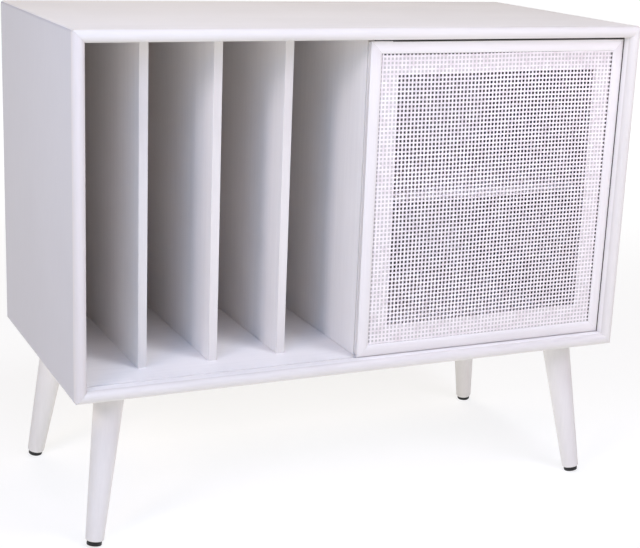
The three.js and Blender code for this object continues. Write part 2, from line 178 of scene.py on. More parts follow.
class CabinetStage(bpy.types.PropertyGroup):
    key_power: power("Key light", "Soft light near the front left", 12.6)
    left_power: power("Left light", "Smaller soft light further round to the left", 34.1)
    front_power: power("Front light", "Soft light in front on the right", 16.8)
    high_power: power("High light", "Large soft light high in front", 24.6)
    crisp_power: power("Crisp light", "Smaller soft light high in front on the right", 34.1)
    back_power: power("Back light", "Large soft light high behind", 39.6)
    floor_glow: glow("Floor glow", "Glow of the lit paper round the cabinet", 0.76)
    far_glow: glow("Far glow", "Glow of the lit paper further away", 1.05)
    wall_glow: glow("Wall glow", "Glow of the lit wall far all round", 0.42)


SETTINGS = {
    "cabinet_case": CabinetCase,
    "cabinet_door": CabinetDoor,
    "cabinet_cane": CabinetCane,
    "cabinet_legs": CabinetLegs,
    "cabinet_colours": CabinetColours,
    "cabinet_stage": CabinetStage,
}


# Materials.

# The span that most of a noise's values lie in, and that of three noises added up.
MOST_OF_NOISE = (0.3, 0.7)
MOST_OF_THREE_NOISES = (1.1, 1.9)


def add_node(tree, kind, settings=None, links=None):
    """Adds one shader node. settings gives its properties and socket values, and links what feeds its sockets."""
    node = tree.nodes.new(kind)
    for name, value in (settings or {}).items():
        if isinstance(name, int) or name in node.inputs:
            node.inputs[name].default_value = value
        else:
            setattr(node, name, value)
    for name, source in (links or {}).items():
        tree.links.new(source, node.inputs[name])
    return node


def new_material(name):
    """An empty node material, its Principled shader and its tree."""
    material = bpy.data.materials.new(name)
    material.use_nodes = True
    tree = material.node_tree
    tree.nodes.clear()
    shader = add_node(tree, "ShaderNodeBsdfPrincipled")
    add_node(tree, "ShaderNodeOutputMaterial", links={"Surface": shader.outputs[0]})
    return material, shader, tree


def stretched(along, width, run):
    """Pattern scales for marks of the given width that run along one axis for the given length."""
    scales = [1 / width] * 3
    scales["XYZ".index(along)] = 1 / run
    return scales


def vary_tone(tree, shader, base, pattern, span, tones):
    """Lets a pattern, over its given span, make the base colour a little darker and lighter."""
    level = add_node(
        tree,
        "ShaderNodeMapRange",
        {"From Min": span[0], "From Max": span[1], "To Min": tones[0], "To Max": tones[1]},
        {"Value": pattern},
    )
    tone = add_node(tree, "ShaderNodeHueSaturation", {"Color": base}, {"Value": level.outputs[0]})
    tree.links.new(tone.outputs[0], shader.inputs["Base Color"])


def brushed_paint(name, base, along, roughness=0.5, streak=0.035):
    """White water-based paint brushed on open-grained wood: a soft sheen, with fine streaks and pores that run
    along the grain, a little darker where the paint has sunk in."""
    material, shader, tree = new_material(name)
    shader.inputs["IOR"].default_value = 1.48
    place = add_node(tree, "ShaderNodeTexCoord").outputs["Object"]
    # Pores are about 0.4 mm wide in the wood. They are drawn 2.5 mm wide and 60 mm long, so that they show.
    scales = stretched(along, 2.5 * MM, 60 * MM)
    pore_place = add_node(tree, "ShaderNodeMapping", {"Scale": scales}, {"Vector": place}).outputs[0]
    pores = add_node(
        tree, "ShaderNodeTexNoise", {"Scale": 1.0, "Detail": 3.0, "Roughness": 0.6}, {"Vector": pore_place}
    )
    # Brush marks are 9 mm wide and 300 mm long, and the coat's thickness drifts over 250 mm.
    scales = stretched(along, 9.0909 * MM, 303.03 * MM)
    brush_place = add_node(tree, "ShaderNodeMapping", {"Scale": scales}, {"Vector": place}).outputs[0]
    brush = add_node(tree, "ShaderNodeTexNoise", {"Scale": 1.0, "Detail": 2.0}, {"Vector": brush_place})
    drift = add_node(tree, "ShaderNodeTexNoise", {"Scale": 1 / (250 * MM), "Detail": 2.0}, {"Vector": place})
    marks = add_node(
        tree, "ShaderNodeMath", {"operation": "ADD"}, {0: pores.outputs["Fac"], 1: brush.outputs["Fac"]}
    )
    marks = add_node(tree, "ShaderNodeMath", {"operation": "ADD"}, {0: marks.outputs[0], 1: drift.outputs["Fac"]})
    vary_tone(tree, shader, base, marks.outputs[0], MOST_OF_THREE_NOISES, (1 - streak, 1 + streak))
    low, high = MOST_OF_NOISE
    sheen = add_node(
        tree,
        "ShaderNodeMapRange",
        {"From Min": low, "From Max": high, "To Min": roughness - 0.06, "To Max": roughness + 0.08},
        {"Value": brush.outputs["Fac"]},
    )
    tree.links.new(sheen.outputs[0], shader.inputs["Roughness"])
    bump = add_node(
        tree, "ShaderNodeBump", {"Strength": 0.25, "Distance": 0.12 * MM}, {"Height": pores.outputs["Fac"]}
    )
    tree.links.new(bump.outputs[0], shader.inputs["Normal"])
    return material


def painted_cane(name, base):
    """Split cane under white paint: matt, with fine fibres along each strand and a faint warm tinge where the paint
    is thin."""
    material, shader, tree = new_material(name)
    shader.inputs["IOR"].default_value = 1.48
    shader.inputs["Roughness"].default_value = 0.62
    place = add_node(tree, "ShaderNodeTexCoord").outputs["Object"]
    # Patches of thinner paint are 12.5 mm across, and fibres are drawn two thirds of a millimetre wide.
    patch = add_node(tree, "ShaderNodeTexNoise", {"Scale": 1 / (12.5 * MM), "Detail": 3.0}, {"Vector": place})
    fibre = add_node(tree, "ShaderNodeTexNoise", {"Scale": 1.5 / MM, "Detail": 2.0}, {"Vector": place})
    ramp = add_node(tree, "ShaderNodeValToRGB", links={"Fac": patch.outputs["Fac"]})
    thin, full = ramp.color_ramp.elements
    thin.position, thin.color = 0.3, linear("#ece3e3")
    full.position, full.color = 0.55, base
    tree.links.new(ramp.outputs[0], shader.inputs["Base Color"])
    bump = add_node(
        tree, "ShaderNodeBump", {"Strength": 0.3, "Distance": 0.05 * MM}, {"Height": fibre.outputs["Fac"]}
    )
    tree.links.new(bump.outputs[0], shader.inputs["Normal"])
    return material


def plated_metal(name, base, roughness):
    """Zinc-plated pressed steel: bright, with fine marks in one direction that spread its highlights."""
    material, shader, tree = new_material(name)
    shader.inputs["Metallic"].default_value = 1.0
    place = add_node(tree, "ShaderNodeTexCoord").outputs["Object"]
    # The marks of the press are drawn 1.1 mm wide and 17 mm long, and the plating's blotches are 11 mm across.
    mark_place = add_node(tree, "ShaderNodeMapping", {"Scale": (60, 900, 900)}, {"Vector": place}).outputs[0]
    marks = add_node(tree, "ShaderNodeTexNoise", {"Scale": 1.0, "Detail": 4.0}, {"Vector": mark_place})
    blotch = add_node(tree, "ShaderNodeTexNoise", {"Scale": 90.0, "Detail": 3.0}, {"Vector": place})
    vary_tone(tree, shader, base, blotch.outputs["Fac"], MOST_OF_NOISE, (0.9, 1.06))
    low, high = MOST_OF_NOISE
    gloss = add_node(
        tree,
        "ShaderNodeMapRange",
        {"From Min": low, "From Max": high, "To Min": roughness - 0.07, "To Max": roughness + 0.1},
        {"Value": marks.outputs["Fac"]},
    )
    tree.links.new(gloss.outputs[0], shader.inputs["Roughness"])
    bump = add_node(
        tree, "ShaderNodeBump", {"Strength": 0.15, "Distance": 0.03 * MM}, {"Height": marks.outputs["Fac"]}
    )
    tree.links.new(bump.outputs[0], shader.inputs["Normal"])
    return material


def moulded_plastic(name, base, roughness, grit):
    """Injection-moulded plastic or rubber with a fine spark-eroded texture: an even, soft gloss."""
    material, shader, tree = new_material(name)
    shader.inputs["IOR"].default_value = 1.5
    shader.inputs["Roughness"].default_value = roughness
    place = add_node(tree, "ShaderNodeTexCoord").outputs["Object"]
    pattern = add_node(tree, "ShaderNodeTexNoise", {"Scale": 1 / grit, "Detail": 2.0}, {"Vector": place})
    vary_tone(tree, shader, base, pattern.outputs["Fac"], MOST_OF_NOISE, (0.92, 1.08))
    bump = add_node(
        tree, "ShaderNodeBump", {"Strength": 0.2, "Distance": 0.05 * MM}, {"Height": pattern.outputs["Fac"]}
    )
    tree.links.new(bump.outputs[0], shader.inputs["Normal"])
    return material


def glowing_matt(name, base, patches, spread):
    """Matt paper or wall paint that has lamps of its own: even and nearly white, with hardly any gloss."""
    material, shader, tree = new_material(name)
    shader.inputs["Roughness"].default_value = 0.9
    shader.inputs["Specular IOR Level"].default_value = 0.1
    shader.inputs["Emission Color"].default_value = linear("#ffffff")
    place = add_node(tree, "ShaderNodeTexCoord").outputs["Object"]
    fleck = add_node(tree, "ShaderNodeTexNoise", {"Scale": patches, "Detail": 2.0}, {"Vector": place})
    vary_tone(tree, shader, base, fleck.outputs["Fac"], MOST_OF_NOISE, (1 - spread, 1 + spread))
    return material, shader, tree


# Each finish has its maker, its colour as a name among the cabinet's colours or a hex value, and what else the
# maker takes: the grain's direction, the roughness and the strength of the streaks, or the roughness and the grit.
FINISHES = {
    # The full coats: a soft sheen, streaked along each piece's own grain.
    "white_brushed_paint_grain_across": (brushed_paint, "case_paint", "X"),
    "white_brushed_paint_grain_up": (brushed_paint, "case_paint", "Z"),
    # The left board's outside and front edge are darker: painted shade for the weaker light on the left.
    "white_brushed_paint_left_side": (brushed_paint, "left_side_paint", "Z"),
    "white_brushed_paint_left_nose": (brushed_paint, "left_nose_paint", "Z"),
    "white_brushed_door_paint_grain_across": (brushed_paint, "door_paint", "X", 0.45),
    "white_brushed_door_paint_grain_up": (brushed_paint, "door_paint", "Z", 0.45),
    "white_brushed_paint_turned_leg": (brushed_paint, "leg_paint", "Z", 0.45, 0.03),
    # Greyer paint on the front edges: painted shade, a shade greyer than the faces.
    "white_brushed_edge_paint_grain_across": (brushed_paint, "edge_paint", "X"),
    "white_brushed_edge_paint_grain_up": (brushed_paint, "edge_paint", "Z"),
    # The ledge is painted darker, and the gaps and the cupboard dark grey: painted shade, duller and darker.
    "thin_white_paint_on_ledge": (brushed_paint, "ledge_paint", "Z", 0.6),
    "grey_brushed_undercoat": (brushed_paint, "undercoat", "Z", 0.7),
    # Smooth fibreboard under paint: faint streaks and hardly any sheen. The darker, warmer one inside the slots is
    # painted shade.
    "white_painted_fibreboard": (brushed_paint, "back_paint", "X", 0.65, 0.025),
    "yellowed_painted_fibreboard": (brushed_paint, "yellowed_paint", "X", 0.65, 0.025),
    "white_painted_split_cane": (painted_cane, "cane_paint"),
    "zinc_plated_pressed_steel": (plated_metal, "#bfc1c4", 0.34),
    # Nylon has a waxy sheen, polyethylene a duller one, and rubber hardly any.
    "white_moulded_nylon": (moulded_plastic, "#e2e1dc", 0.42, 0.6 * MM),
    # Dark grey nylon for the top guides: painted shade in the gap over the door.
    "dark_grey_moulded_nylon": (moulded_plastic, "#3a3839", 0.42, 0.6 * MM),
    "black_moulded_polyethylene": (moulded_plastic, "#0e0e0f", 0.5, 0.7 * MM),
    "grey_moulded_rubber": (moulded_plastic, "#c4c4c6", 0.75, 0.5 * MM),
}


def finish_of(name):
    """The named material, made when it is first asked for."""
    if name in bpy.data.materials:
        return bpy.data.materials[name]
    maker, base, *others = FINISHES[name]
    colours = bpy.context.scene.cabinet_colours
    return maker(name, linear(base) if base.startswith("#") else getattr(colours, base), *others)


# Shapes.


def rounded(corners, steps=6):
    """A closed outline through corners given as (across, up, radius), each rounded with the given steps."""
    points = []
    for i, (across, up, radius) in enumerate(corners):
        here = Vector((across, up))
        if not radius:
            points.append((across, up))
            continue
        before = (Vector(corners[i - 1][:2]) - here).normalized()
        after = (Vector(corners[(i + 1) % len(corners)][:2]) - here).normalized()
        half = before.angle(after) / 2
        centre = here + (before + after).normalized() * radius / math.sin(half)
        start = here + before * radius / math.tan(half) - centre
        end = here + after * radius / math.tan(half) - centre
        sweep = math.atan2(start.x * end.y - start.y * end.x, start.dot(end))
        for k in range(steps + 1):
            turn = sweep * k / steps
            points.append(
                (
                    centre.x + start.x * math.cos(turn) - start.y * math.sin(turn),
                    centre.y + start.x * math.sin(turn) + start.y * math.cos(turn),
                )
            )
    return points


def add_piece(name, mesh_data, material, body, stands_for=(), crease=35):
    """Makes a piece from (points, faces), with smooth shading up to the crease angle, and puts it on its body."""
    points, faces = mesh_data
    mesh = bpy.data.meshes.new(name)
    mesh.from_pydata([tuple(p) for p in points], [], faces)
    clean = bmesh.new()
    clean.from_mesh(mesh)
    bmesh.ops.remove_doubles(clean, verts=clean.verts, dist=SAME_POINT)
    bmesh.ops.recalc_face_normals(clean, faces=clean.faces)
    clean.to_mesh(mesh)
    clean.free()
    for face in mesh.polygons:
        face.use_smooth = True
    mesh.set_sharp_from_angle(angle=math.radians(crease))
    piece = bpy.data.objects.new(name, mesh)
    bpy.context.scene.collection.objects.link(piece)
    mesh.materials.append(finish_of(material))
    normals = piece.modifiers.new("even_normals", "WEIGHTED_NORMAL")
    normals.keep_sharp = True
    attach(piece, body)
    if stands_for:
        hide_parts(*stands_for)
    return piece


def refinish(piece, material, chosen):
    """Gives the chosen faces of a piece another material."""
    piece.data.materials.append(finish_of(material))
    slot = len(piece.data.materials) - 1
    for face in piece.data.polygons:
        if chosen(face):
            face.material_index = slot


def prism(outline, axis, *stops):
    """An outline drawn in the two other axes, in X, Y, Z order, and run along one axis from stop to stop."""
    n = len(outline)

    def place(along, point):
        rest = list(point)
        rest.insert("XYZ".index(axis), along)
        return rest

    points = [place(stop, p) for stop in stops for p in outline]
    return points, skin(n, len(stops))


def skin(n, levels):
    """The faces that join rings of n points, level by level, and close both ends."""
    faces = [
        (k * n + i, k * n + (i + 1) % n, (k + 1) * n + (i + 1) % n, (k + 1) * n + i)
        for k in range(levels - 1)
        for i in range(n)
    ]
    return faces + [tuple(range(n)), tuple(range((levels - 1) * n, levels * n))]


def mitred_side(section, side, low, high, gap, corner=0, changes=()):
    """One side of an upright rectangular frame between its corners low and high. The section's points are
    (depth from the front, distance in from the outer face), and both ends are cut at 45 degrees. The frame's outer
    corners are rounded by the corner radius. changes gives (distance from the low end, section) in between."""
    steps = 6
    turns = [math.pi / 4 * (1 - k / steps) for k in range(steps + 1)] if corner else [0]
    cuts = [(corner * (1 - math.sin(a)), corner * (1 - math.cos(a))) for a in turns]
    level = side in ("top", "bottom")
    start, end = (low.x, high.x) if level else (low.z, high.z)
    inset = gap / math.sqrt(2)
    last = changes[-1][1] if changes else section
    rings = [[(start + max(i, along) + inset, d, max(i, sunk)) for d, i in section] for along, sunk in cuts]
    rings += [[(start + max(i + inset, distance), d, i) for d, i in shape] for distance, shape in changes]
    rings += [[(end - max(i, along) - inset, d, max(i, sunk)) for d, i in last] for along, sunk in reversed(cuts)]
    points = []
    for run, depth, inward in (point for ring in rings for point in ring):
        if level:
            points.append((run, low.y + depth, high.z - inward if side == "top" else low.z + inward))
        else:
            points.append((low.x + inward if side == "left" else high.x - inward, low.y + depth, run))
    return points, skin(len(section), len(rings))


def turned(profile, segments, place=Matrix()):
    """A profile of (radius, height) spun round the Z axis and put in place."""
    points, faces, rings = [], [], []
    for radius, height in profile:
        # A point on the axis isn't repeated round it.
        around = segments if radius > 0 else 1
        rings.append(range(len(points), len(points) + around))
        for k in range(around):
            angle = math.tau * k / segments
            points.append(place @ Vector((radius * math.cos(angle), radius * math.sin(angle), height)))
    for lower, upper in zip(rings, rings[1:]):
        for k in range(segments):
            after = (k + 1) % segments
            quad = [lower[k % len(lower)], lower[after % len(lower)], upper[after % len(upper)], upper[k % len(upper)]]
            faces.append(tuple(dict.fromkeys(quad)))
    return points, faces


def arc(radius, height, bend, start, end, steps=6):
    """Profile points of an arc with its middle at (radius, height), from one angle to another in degrees."""
    angles = [math.radians(start + (end - start) * k / steps) for k in range(steps + 1)]
    return [(radius + bend * math.cos(a), height + bend * math.sin(a)) for a in angles]


def joined(*parts):
    """Several (points, faces) as one."""
    points, faces = [], []
    for more, their_faces in parts:
        base = len(points)
        points += [tuple(p) for p in more]
        faces += [tuple(base + i for i in face) for face in their_faces]
    return points, faces


def screw_head(place, radius, rise):
    """A flat countersunk head with a cross recess, facing +Z of its place."""
    segments, quarter = 24, 6
    recess_depth, edge_height, shank_depth = 0.8 * MM, 0.25 * MM, 1.2 * MM
    flat_share, shank_share, recess_share = 0.93, 0.6, 0.8
    arm, slot = radius * 0.55, radius * 0.15
    cross = [(slot, arm), (slot, slot), (arm, slot), (arm, -slot), (slot, -slot), (slot, -arm)]
    cross += [(-slot, -arm), (-slot, -slot), (-arm, -slot), (-arm, slot), (-slot, slot), (-slot, arm)]
    rim = [(radius * math.cos(a), radius * math.sin(a)) for a in (math.tau * k / segments for k in range(segments))]
    points = [Vector((x, y, rise - edge_height)) for x, y in rim]
    points += [Vector((x * flat_share, y * flat_share, rise)) for x, y in rim]
    points += [Vector((x * shank_share, y * shank_share, -shank_depth)) for x, y in rim]
    points += [Vector((x, y, rise)) for x, y in cross]
    points += [Vector((x * recess_share, y * recess_share, rise - recess_depth)) for x, y in cross]
    flat, shank, recess = segments, 2 * segments, 3 * segments
    bed = recess + len(cross)
    faces = []
    for k in range(segments):
        after = (k + 1) % segments
        faces.append((k, after, flat + after, flat + k))
        faces.append((shank + k, shank + after, after, k))
    faces.append(tuple(range(shank, recess)))
    for k in range(len(cross)):
        after = (k + 1) % len(cross)
        faces.append((recess + k, recess + after, bed + after, bed + k))
    faces.append(tuple(range(bed, bed + len(cross))))
    # The flat round the cross is one face for each quarter between two arms, and one at the end of each arm.
    for q, corners in enumerate([(0, 1, 2), (9, 10, 11), (6, 7, 8), (3, 4, 5)]):
        arc_points = [flat + (q * quarter + k) % segments for k in range(quarter + 1)]
        faces.append(tuple(arc_points + [recess + corner for corner in corners]))
    for q, (one, other) in enumerate([(2, 3), (11, 0), (8, 9), (5, 6)]):
        faces.append((flat + q * quarter, recess + one, recess + other))
    return [place @ p for p in points], faces


# Pieces.


def case_corners():
    """The case's outer corners, lowest and highest."""
    low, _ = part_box("bottom_board")
    _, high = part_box("top_board")
    return low, high


def build_case_boards(case):
    low, high = case_corners()
    board_low, board_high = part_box("top_board")
    thickness, depth = board_high.z - board_low.z, high.y - low.y
    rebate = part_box("back_panel")[0].y - low.y
    nose = thickness / 2
    section = rounded([(0, thickness, nose), (depth, thickness, 0), (depth, 0, 0), (0, 0, nose)], case.nose_steps)
    inner = [(rebate, thickness), (rebate, thickness - case.rebate_width), (depth, thickness - case.rebate_width)]
    back_edge = rounded([(depth, thickness, 0), (depth, 0, case.edge_radius), (0, 0, 0)], 4)[1:-1]
    steps = case.nose_steps + 1
    groove_depths = {"top": case.top_groove_depth, "bottom": case.bottom_groove_depth}
    behind_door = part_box("door_right_stile")[0].y - low.y + case.cupboard_and_gap_shade_setback
    outside = low.x + thickness / 3

    def on_nose(face):
        return face.center.y < low.y + nose

    def in_gap(face):
        """On the right board's inner face, from the door's rim back: where the dark grey painted shade goes."""
        return face.normal.x < -0.999 and face.center.y > low.y + behind_door

    for side in SIDES:
        level = side in groove_depths
        name, grain = (f"{side}_board", "across") if level else (f"{side}_side_board", "up")
        groove = []
        if level:
            front, back = case.groove_setback, case.groove_setback + case.groove_width
            bed = thickness - groove_depths[side]
            groove = [(front, thickness), (front, bed), (back, bed), (back, thickness)]
        if side == "right":
            groove = [(behind_door, thickness)]
        outline = section[:steps] + groove + inner + back_edge + section[-steps:]
        board = add_piece(
            f"{name}_painted",
            mitred_side(outline, side, low, high, case.joint_gap, case.corner_radius),
            f"white_brushed_paint_grain_{grain}",
            "case",
            [name],
        )
        # The left board's front edge and outside are painted darker: painted shade for the weaker light on the left.
        if side == "left":
            refinish(board, "white_brushed_paint_left_nose", on_nose)
            side_paint = "white_brushed_paint_left_side"
            refinish(board, side_paint, lambda face: face.center.x < outside and not on_nose(face))
            continue
        # Behind the door, the right board's inner face is dark grey: painted shade of the gap.
        if side == "right":
            refinish(board, "grey_brushed_undercoat", in_gap)
        # The noses take the greyer edge paint: painted shade.
        refinish(board, f"white_brushed_edge_paint_grain_{grain}", on_nose)


def build_back_panel(case):
    low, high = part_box("back_panel")
    edge = 0.4 * MM
    outline = rounded([(low.y, low.z, 0), (high.y, low.z, edge), (high.y, high.z, edge), (low.y, high.z, 0)], 3)
    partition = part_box("centre_partition")
    middle = (partition[0].x + partition[1].x) / 2
    panel = add_piece(
        "back_panel_painted",
        prism(outline, "X", low.x, middle, high.x),
        "white_painted_fibreboard",
        "case",
        ["back_panel"],
    )
    # Inside the slots the panel is darker and warmer: painted shade of the deep slots.
    refinish(panel, "yellowed_painted_fibreboard", lambda face: face.normal.y < -0.999 and face.center.x < middle)
    # In the cupboard the panel's front is dark grey: painted shade behind the cane.
    refinish(panel, "grey_brushed_undercoat", lambda face: face.normal.y < -0.999 and face.center.x > middle)
    # Countersunk screws hold the panel to the boards and to the partition's back edge.
    inset, spans_across, spans_up = case.screw_inset, 6, 4
    width, height = high.x - low.x - 2 * inset, high.z - low.z - 2 * inset
    spots = []
    for k in range(spans_across + 1):
        x = low.x + inset + width * k / spans_across
        spots += [(x, low.z + inset), (x, high.z - inset)]
    for k in range(1, spans_up):
        z = low.z + inset + height * k / spans_up
        spots += [(low.x + inset, z), (high.x - inset, z)]
    spots += [(middle, low.z + (high.z - low.z) * share) for share in (0.25, 0.5, 0.75)]
    facing_back = Matrix.Rotation(-math.pi / 2, 4, "X")
    radius, rise = 2.6 * MM, 0.3 * MM
    heads = [screw_head(Matrix.Translation((x, high.y, z)) @ facing_back, radius, rise) for x, z in spots]
    add_piece("back_panel_screws", joined(*heads), "zinc_plated_pressed_steel", "case")


def upright_panel(node, radius, relief):
    """A panel that stands on the bottom board, with its two front edges eased and its foot and head relieved, which
    leaves the fine dark line where it meets a board."""
    low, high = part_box(node)
    plan = rounded([(low.x, low.y, radius), (high.x, low.y, radius), (high.x, high.y, 0), (low.x, high.y, 0)], 6)
    middle, half = (low.x + high.x) / 2, (high.x - low.x) / 2
    # (height over the foot, inset of the face) as shares of the relief.
    curve = [(0, 1), (0.35, 0.4), (1.2, 0)]
    levels = [(low.z + relief * rise, relief * inset) for rise, inset in curve]
    levels += [(high.z - relief * rise, relief * inset) for rise, inset in reversed(curve)]
    points = [(middle + (x - middle) * (1 - inset / half), y, z) for z, inset in levels for x, y in plan]
    return points, skin(len(plan), len(levels))


def build_dividers(case):
    # The relief at the foot, in millimetres, is wider on the boards that stand further to the right.
    reliefs = {"record_divider_1": 0.3, "record_divider_2": 0.8, "record_divider_3": 1.0, "centre_partition": 1.5}
    for node, relief in reliefs.items():
        panel = add_piece(
            f"{node}_painted",
            upright_panel(node, case.edge_radius, relief * MM),
            "white_brushed_paint_grain_up",
            "case",
            [node],
        )
        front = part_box(node)[0].y + case.edge_radius
        # The dividers' front edges take the greyer edge paint: painted shade.
        refinish(panel, "white_brushed_edge_paint_grain_up", lambda face: face.center.y < front)
        if node == "centre_partition":
            # The partition's cupboard side is dark grey: painted shade, so the cupboard behind the cane looks dark.
            refinish(panel, "grey_brushed_undercoat", lambda face: face.normal.x > 0.999)


def build_shelf(case):
    low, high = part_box("cupboard_shelf")
    radius = case.edge_radius
    section = rounded([(low.y, low.z, radius), (high.y, low.z, 0), (high.y, high.z, 0), (low.y, high.z, radius)], 6)
    add_piece(
        "cupboard_shelf_painted",
        prism(section, "X", low.x, high.x),
        "white_brushed_paint_grain_across",
        "case",
        ["cupboard_shelf"],
    )


def soften_solid(node, material, width):
    """Gives a solid that stays shown its finish, and a small bevel on its edges."""
    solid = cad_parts[node]
    solid.data.materials.clear()
    solid.data.materials.append(finish_of(material))
    weld = solid.modifiers.new("one_skin", "WELD")
    weld.merge_threshold = 5 * SAME_POINT
    bevel = solid.modifiers.new("eased_edges", "BEVEL")
    bevel.width = width
    bevel.segments = 2
    bevel.limit_method = "ANGLE"
    bevel.angle_limit = math.radians(40)


def build_fittings():
    eased = 0.3 * MM
    for place in ("front_left", "back_left", "front_right", "back_right"):
        soften_solid(f"shelf_pin_{place}", "zinc_plated_pressed_steel", eased)
    for side in ("left", "right"):
        # The top guides are dark grey: painted shade that darkens the gap above the door.
        soften_solid(f"door_guide_top_{side}", "dark_grey_moulded_nylon", eased)
        soften_solid(f"door_runner_bottom_{side}", "white_moulded_nylon", eased)
        for level in ("lower", "upper"):
            soften_solid(f"door_buffer_{side}_{level}", "grey_moulded_rubber", eased)


def rim_section(door, thickness, quirk, rebate=False):
    """The door frame's section: a domed rim, a step down to the ledge, a quirk of the given depth at the step's
    foot, and eased back edges. The rebate is cut into the outer front edge."""
    lip, outer_fall = (door.rebate_width, door.rebated_fall) if rebate else (0, door.outer_fall)
    tongue = door.rebate_depth if rebate else outer_fall
    outside, inside = door.crown_outside - lip, door.crown_inside
    steps = 10
    angles = [math.pi / 2 * k / steps for k in range(steps + 1)]

    def fall_at(share, fall):
        """How far the rim falls back at this share of the way from its crown to its edge."""
        return door.dome_height * share**2 + (fall - door.dome_height) * (1 - math.sqrt(1 - share**8))

    points = [(tongue, 0), (tongue, lip)]
    points += [(fall_at(math.cos(a), outer_fall), lip + outside * (1 - math.cos(a))) for a in angles]
    points += [(fall_at(math.sin(a), door.inner_fall), door.rim_width - inside * (1 - math.sin(a))) for a in angles]
    bed, beside = door.ledge_recess + quirk, door.rim_width + door.quirk_width
    ledge_edge, back_edge = 0.75 * MM, 1 * MM
    back = [
        (bed, door.rim_width, 0),
        (bed, beside, 0),
        (door.ledge_recess, beside, 0),
        (door.ledge_recess, door.frame_width, ledge_edge),
        (thickness, door.frame_width, back_edge),
        (thickness, 0, back_edge),
    ]
    return points + rounded(back, 4)


def build_door_frame(door):
    low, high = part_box("door_bottom_rail")[0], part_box("door_top_rail")[1]
    thickness = high.y - low.y
    deep, shallow, faint = door.quirk_depth, door.quirk_depth * 0.4, 0.1 * MM
    members = {
        "top": ("door_top_rail", deep, lambda spot: high.z - spot.z),
        "bottom": ("door_bottom_rail", faint, lambda spot: spot.z - low.z),
        "left": ("door_left_stile", shallow, lambda spot: spot.x - low.x),
        "right": ("door_right_stile", deep, lambda spot: high.x - spot.x),
    }
    fine = 0.05 * MM
    ledge, back = low.y + door.ledge_recess, high.y - 2 * MM
    for side, (node, quirk, inward) in members.items():
        section, changes = rim_section(door, thickness, quirk), []
        finish = f"white_brushed_door_paint_grain_{'up' if side in ('left', 'right') else 'across'}"
        if side == "top":
            # The rebate starts at its stop, within a tenth of a millimetre. This rail takes the case's lighter paint:
            # painted light, as more light falls on the door's top.
            rebated = rim_section(door, thickness, quirk, rebate=True)
            changes = [(door.rebate_stop, section), (door.rebate_stop + 0.1 * MM, rebated)]
            finish = "white_brushed_paint_grain_across"
        member = add_piece(
            f"{node}_painted",
            mitred_side(section, side, low, high, door.joint_gap, 0, changes),
            finish,
            "door",
            [node],
        )

        def on_ledge(face):
            return inward(face.center) > door.rim_width - fine and ledge - fine < face.center.y < back

        def in_gap(face):
            """Where the dark grey painted shade goes: in the quirk, on the edge that faces the gap, or on the top
            rail's tongue.
            """
            spot, width = face.center, inward(face.center)
            past_rim = width - door.rim_width
            in_quirk = -fine < past_rim < door.quirk_width + fine and ledge + fine < spot.y < back
            rebated = side == "top" and spot.x > low.x + door.rebate_stop
            return in_quirk or width < fine or (rebated and width < door.rebate_width + fine)

        # The ledge is painted darker: painted shade under the cane.
        refinish(member, "thin_white_paint_on_ledge", on_ledge)
        # At the top and the right, the quirk, the gap-facing edge and the tongue are dark grey: painted shade.
        if side in ("top", "right"):
            refinish(member, "grey_brushed_undercoat", in_gap)


def strand_places(first, pitch, cane, low, high):
    """The middles of the strands, in pairs at every pitch, that lie wholly between low and high."""
    start = first + math.floor((low - first) / pitch) * pitch
    half_width = cane.strand_width / 2
    places, k = [], 0
    while start + k * pitch < high + pitch:
        for side in (-0.5, 0.5):
            middle = start + k * pitch + side * cane.pair_spacing
            if low + half_width <= middle <= high - half_width:
                places.append(middle)
        k += 1
    return places


def woven_strands(own, crossed, low, high, cane, centre, upright, draw, drift):
    """Flat strands at their own places, going over and under the crossed ones between low and high. drift gives
    how far a strand is off its place along its run."""
    points, faces = [], []
    half_width, half_thick = cane.strand_width / 2, cane.strand_thickness / 2
    lift, damping = cane.strand_thickness * 0.55, 0.6
    # The four corners of a strand's section: its front is a little narrower than its back.
    section = ((-0.86, -1), (0.86, -1), (1, 1), (-1, 1))
    stations = [low, *crossed, high]
    for i, middle in enumerate(own):
        # Two waves, each with a size, a length and a start, make a strand stray. Together they are damped to keep
        # it near its place.
        waves = [
            (draw.uniform(0.2, 1.0) * cane.wander, draw.uniform(70, 210) * MM, draw.uniform(0, math.tau))
            for _ in range(2)
        ]
        wide = half_width * draw.uniform(0.94, 1.06)
        base = len(points)
        for j, along in enumerate(stations):
            over = 1 if (i + j + upright) % 2 else -1
            if along in (low, high):
                over = 0
            stray = damping * sum(size * math.sin(math.tau * along / wave + start) for size, wave, start in waves)
            for side, face in section:
                across = middle + stray + drift(along) + side * wide
                y = centre + over * lift + face * half_thick
                points.append((across, y, along) if upright else (along, y, across))
            if j:
                at = base + 4 * (j - 1)
                faces += [(at + k, at + (k + 1) % 4, at + 4 + (k + 1) % 4, at + 4 + k) for k in range(4)]
        end = base + 4 * (len(stations) - 1)
        faces += [(base, base + 1, base + 2, base + 3), (end, end + 1, end + 2, end + 3)]
    return points, faces


